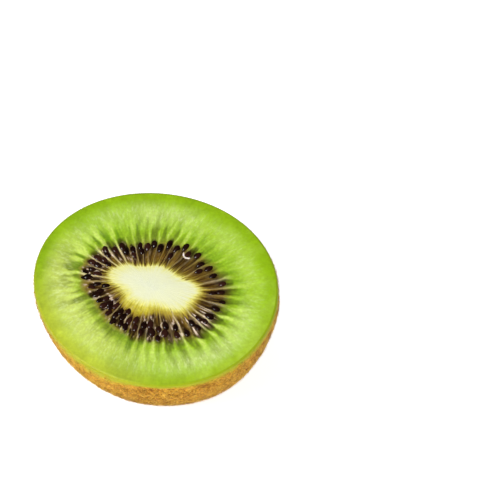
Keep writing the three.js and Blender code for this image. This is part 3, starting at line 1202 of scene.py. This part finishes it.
class FleshShader(Shader):
    """The flesh's material, whose colours change from belt to belt."""

    def __init__(self):
        super().__init__("kiwi_flesh")
        self.zone = self.math("DIVIDE", self.attribute("zone"), float(ZONES))
        self.lay = self.attribute("lay", "Vector")
        self.own_place = self.place()
        self.fine = self.noise(self.lay, 1.3, roughness=0.55)
        self.speckle = self.noise(self.own_place, 1.7, roughness=0.55)
        self.in_flesh = self.belt(3.8, 4.3)
        self.inside_rim = self.belt(4.5, 4.87, 1.0, 0.0)
        # Pale patches of the flesh, partly painted sheen.
        pale = self.stretch(self.attribute("pale_and_sheen"), -1.0, 1.0, 0.0, 0.65)
        self.pale = self.times(pale, self.times(self.in_flesh, self.inside_rim))

    def belt(self, low, high, to_low=0.0, to_high=1.0):
        """A share that changes between these two belts."""
        return self.stretch(self.zone, low / ZONES, high / ZONES, to_low, to_high)

    def by_belt(self, stops):
        return self.ramp(self.zone, stops, ZONES)

    def ground(self):
        """The core and flesh, with their pale, yellow, bright and shaded places; the pale places are
        partly painted sheen, and the bright and shaded ones partly painted light and shade round the core.
        """
        colour = self.mix(self.pale, self.by_belt(FLESH_GROUND), PALE_FLESH_AND_SHEEN)
        colour = self.mix(self.attribute("warm"), colour, self.by_belt(YELLOW_FLESH))
        # Pale and dark greens where the rays and shadows are, and also where light and shade are painted
        # round the core.
        ray_and_painted_light = self.attribute("ray_and_painted_light")
        colour = self.mix(self.stretch(ray_and_painted_light, 0.0, 1.0, 0.0, 0.75), colour, RAY_GREEN)
        olive = self.stretch(self.attribute("pale_and_sheen"), -0.8, 0.3)
        shadow = self.mix(olive, SHADOW_GREEN, SHADOW_OLIVE)
        return self.mix(self.stretch(ray_and_painted_light, 0.0, -1.0, 0.0, 0.75), colour, shadow)

    def with_chambers(self, colour):
        dark = self.attribute("dark")
        deep = self.by_belt(DEEP_CHAMBER)
        in_ring = self.times(self.belt(1.1, 1.7, 0.0, 0.4), self.belt(2.8, 3.3, 1.0, 0.0))
        colour = self.mix(self.times(dark, in_ring), colour, deep)
        inside = self.mix(dark, self.by_belt(BRIGHT_CHAMBER), deep)
        return self.mix(self.attribute("hollow"), colour, inside)

    def with_film(self, colour):
        """Thin membrane under the pale crests of the walls, and over them painted wet glints and one
        painted highlight.
        """
        film_and_glints = self.attribute("film_and_glints")
        colour = self.mix(self.times(film_and_glints, 0.6), colour, THIN_FILM)
        colour = self.mix(self.attribute("crest"), colour, self.by_belt(WALL_CRESTS))
        # Painted wet glints where the membrane mask is strongest, and a painted highlight on one seed's
        # wet edge.
        colour = self.mix(self.stretch(film_and_glints, 0.7, 1.2), colour, FILM_GLINT)
        return self.mix(self.stretch(film_and_glints, 1.3, 1.8), colour, WET_HIGHLIGHT)

    def with_grain(self, colour):
        """Pale flecks in the flesh, partly its own flecks and partly painted glints, and a mottle that is
        faint in the core and strongest by the seeds.
        """
        grains = self.stretch(self.noise(self.lay, 1.9), 0.48, 0.7)
        fleck_and_glint = self.times(self.times(grains, self.in_flesh), self.inside_rim)
        share = self.plus(self.times(self.pale, 0.8), 0.2)
        colour = self.mix(self.times(fleck_and_glint, share), colour, FLECK_AND_GLINT)
        mottle = self.plus(self.times(self.fine, 0.4), self.times(self.speckle, 0.6))
        mottle = self.math("SUBTRACT", mottle, 0.5)
        mottle = self.times(mottle, self.belt(0.8, 1.2, 0.1, 1.3))
        mottle = self.times(mottle, self.belt(3.6, 4.4, 1.0, 0.5))
        return self.scaled(colour, self.plus(mottle, 1.0))


def flesh_material():
    shader = FleshShader()
    colour = shader.with_chambers(shader.ground())
    colour = shader.with_grain(shader.with_film(colour))
    rough = shader.stretch(shader.noise(shader.own_place, 0.5), 0.3, 0.7, 0.3, 0.5)
    relief = shader.bump(shader.fine, 0.05)
    relief = shader.bump(shader.speckle, 0.03, Normal=relief)
    shader.set(Base_Color=colour, Roughness=rough, Normal=relief)
    shader.set(IOR=1.36, Specular_IOR_Level=0.3)
    shader.set(Coat_Weight=0.3, Coat_Roughness=0.15, Coat_IOR=1.33)
    shader.set(Subsurface_Weight=0.3, Subsurface_Radius=(1.0, 1.0, 0.35), Subsurface_Scale=0.6 * MM)
    return shader.material


def skin_material():
    shader = Shader("kiwi_skin")
    place = shader.place()
    freckles = shader.noise(place, 1.5, roughness=0.7)
    broad = shader.noise(place, 0.35)
    pores = shader.cells(place, 1.5)
    ground = shader.ramp(freckles, SKIN_GROUND)
    colour = shader.mix(shader.stretch(broad, 0.5, 0.7, 0.0, 0.5), ground, SKIN_GOLD)
    colour = shader.mix(shader.stretch(broad, 0.5, 0.3, 0.0, 0.5), colour, SKIN_BROWN)
    colour = shader.mix(shader.stretch(pores, 0.0, 0.3, 0.6, 0.0), colour, SKIN_PORE)
    below = shader.attribute("below")
    ragged = shader.stretch(shader.noise(place, 0.9), 0.3, 0.7, -0.6, 0.6)
    golden_share = shader.stretch(shader.plus(below, ragged), 0.2, 1.1, 0.85, 0.0)
    colour = shader.mix(golden_share, colour, shader.ramp(below, GOLDEN_LIP))
    colour = shader.mix(shader.attribute("low"), colour, SKIN_LOW)
    relief = shader.bump(freckles, 0.08)
    relief = shader.bump(pores, 0.04, Normal=relief)
    shader.set(Base_Color=colour, Roughness=0.75, Normal=relief, Specular_IOR_Level=0.1)
    return shader.material


def seed_material():
    shader = Shader("kiwi_seed")
    place = shader.place()
    cloud = shader.noise(place, 1.2, detail=2.0, roughness=0.5)
    ground = shader.ramp(shader.attribute("tint"), SEED_GROUND)
    colour = shader.mix(shader.stretch(cloud, 0.45, 0.75, 0.0, 0.4), ground, SEED_BLOOM)
    pits = shader.bump(shader.cells(place, 5.0), 0.02)
    shader.set(Base_Color=colour, Roughness=0.5, Specular_IOR_Level=0.1, Normal=pits)
    shader.set(Coat_Weight=1.0, Coat_Roughness=0.05, Coat_IOR=1.45)
    return shader.material


def fuzz_material():
    shader = Shader("kiwi_fuzz")
    tint = shader.attribute("tint")
    root = shader.mix(tint, *FUZZ_ROOTS)
    tip = shader.mix(tint, *FUZZ_TIPS)
    colour = shader.mix(shader.attribute("along"), root, tip)
    shader.set(Base_Color=colour, Roughness=0.6, Specular_IOR_Level=0.1)
    return shader.material


def floor_material():
    shader = Shader("studio_floor")
    grain = shader.noise(shader.place(), 0.02, detail=2.0, roughness=0.5)
    colour = shader.mix(shader.stretch(grain, 0.3, 0.7), *FLOOR_SHADES)
    shader.set(Base_Color=colour, Roughness=0.6, IOR=1.3)
    shader.set(Emission_Color=srgb(255, 255, 255), Emission_Strength=0.6)
    return shader.material


# ---- Stage, light and camera ----

AIM = Vector((17.16, 15.23, HEIGHT)) * MM  # the point of the cut's plane that the picture's middle shows
CAMERA_PLACE = (18.62, 60.3, 358.24 * MM)  # degrees round from -Y to +X, degrees up, and distance
LENS = 115.2
SENSOR = 36.0
CLIP = (0.01, 10)
FLOOR_REACH = 3000  # millimetres from its middle to its sides
BODY_MIDDLE = Vector((0, 0, HEIGHT / 2)) * MM
SKY_STRENGTH = 0.3
WHITE = (1.0, 1.0, 1.0)
WARM_WHITE = (1.0, 0.99, 0.97)
# Soft square lights: place like the camera's, size in metres, power, colour, and whether gloss shows it.
LIGHTS = {
    "key": ((-42, 55, 0.8), 0.3, 3.0, WARM_WHITE, True),
    "top_left": ((-120, 60, 0.9), 0.5, 1.5, WHITE, False),
    "fill": ((80, 50, 0.9), 0.6, 1.3, WHITE, False),
    "front": ((5, 20, 0.9), 0.5, 3.2, WARM_WHITE, False),
}


def put(thing, target, azimuth, elevation, distance):
    """Puts a light or camera round a point and makes it face the point."""
    a = math.radians(azimuth)
    e = math.radians(elevation)
    back = Vector((math.sin(a) * math.cos(e), -math.cos(a) * math.cos(e), math.sin(e)))
    thing.location = target + back * distance
    thing.rotation_mode = "QUATERNION"
    thing.rotation_quaternion = (-back).to_track_quat("-Z", "Y")


def make_camera():
    data = bpy.data.cameras.new("camera")
    data.lens = LENS
    data.sensor_width = SENSOR
    data.clip_start, data.clip_end = CLIP
    camera = new_object("camera", data)
    put(camera, AIM, *CAMERA_PLACE)
    bpy.context.scene.camera = camera


def make_floor(material):
    sides = (-FLOOR_REACH, FLOOR_REACH)
    floor = new_mesh("floor", [(x, y, 0) for y in sides for x in sides], [(0, 1, 3, 2)], material)


def make_light(name, place, size, power, colour, glossy):
    data = bpy.data.lights.new(name, "AREA")
    data.size = size
    data.energy = power
    data.color = colour
    light = new_object(name, data)
    light.visible_glossy = glossy
    put(light, BODY_MIDDLE, *place)


def make_studio():
    world = bpy.data.worlds.new("studio")
    world.use_nodes = True
    bpy.context.scene.world = world
    background = world.node_tree.nodes["Background"]
    background.inputs["Color"].default_value = (*WHITE, 1)
    background.inputs["Strength"].default_value = SKY_STRENGTH
    world.cycles_visibility.glossy = False
    for name, settings in LIGHTS.items():
        make_light(name, *settings)
    bpy.context.scene.view_settings.view_transform = "Standard"


# ---- Making it all ----

make_camera()
make_studio()
make_floor(floor_material())

flesh = make_flesh(flesh_material())
skin_rings, skin_normals = skin_outside()
skin = make_skin(skin_material(), skin_rings)
seeds = make_seeds(seed_material())
for piece in (flesh, skin, seeds):
    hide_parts(NODE)

fuzz = fuzz_material()
for name, sizes in FUZZ.items():
    make_fuzz(name, fuzz, skin_rings, skin_normals, *sizes)
